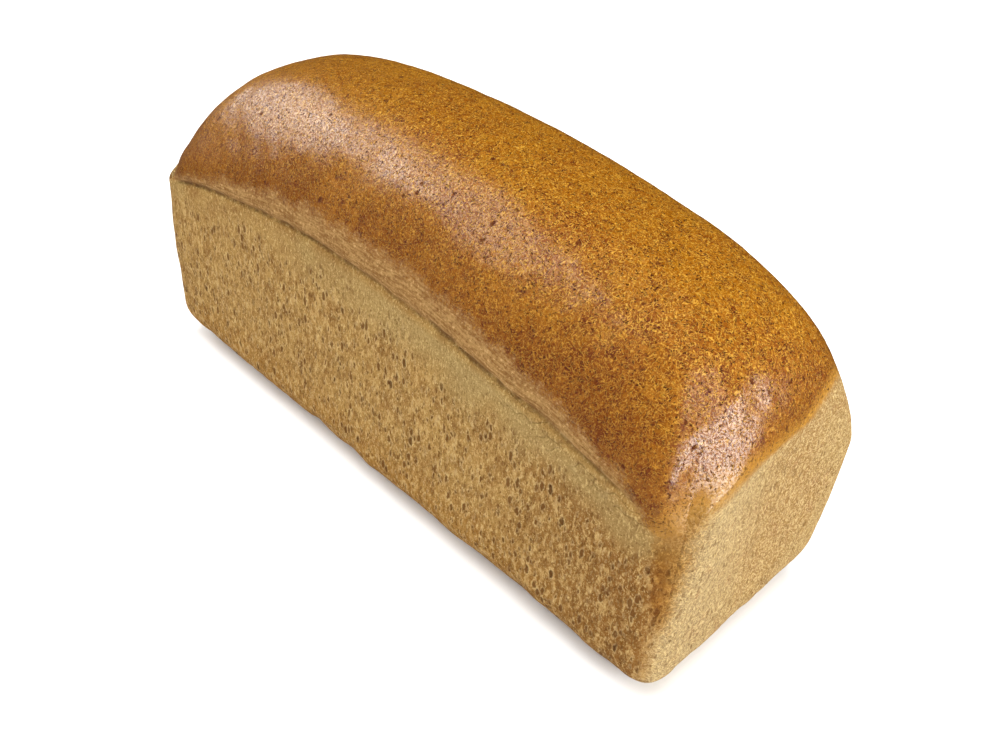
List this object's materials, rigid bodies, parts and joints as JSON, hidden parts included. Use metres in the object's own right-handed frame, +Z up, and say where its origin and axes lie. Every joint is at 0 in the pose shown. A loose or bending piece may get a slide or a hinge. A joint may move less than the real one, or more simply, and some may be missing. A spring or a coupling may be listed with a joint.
{
  "type": "tin loaf",
  "caption": "Wholemeal loaf baked in an open tin: straight pale sides, a domed glazed golden crust and a fold where the crust springs off the tin.",
  "frame": {"origin": "the middle of the flat base, on the surface that the loaf stands on", "axes": "+X along the loaf, towards the end with the slack front corner; +Y across it, from the front long side to the back; +Z up"},
  "size_m": [0.2696, 0.0948, 0.1339],
  "materials": {
    "crust": "matte, with a soft glaze on the dome"
  },
  "bodies": {
    "root": {"loaf": "crust"}
  },
  "joints": []
}
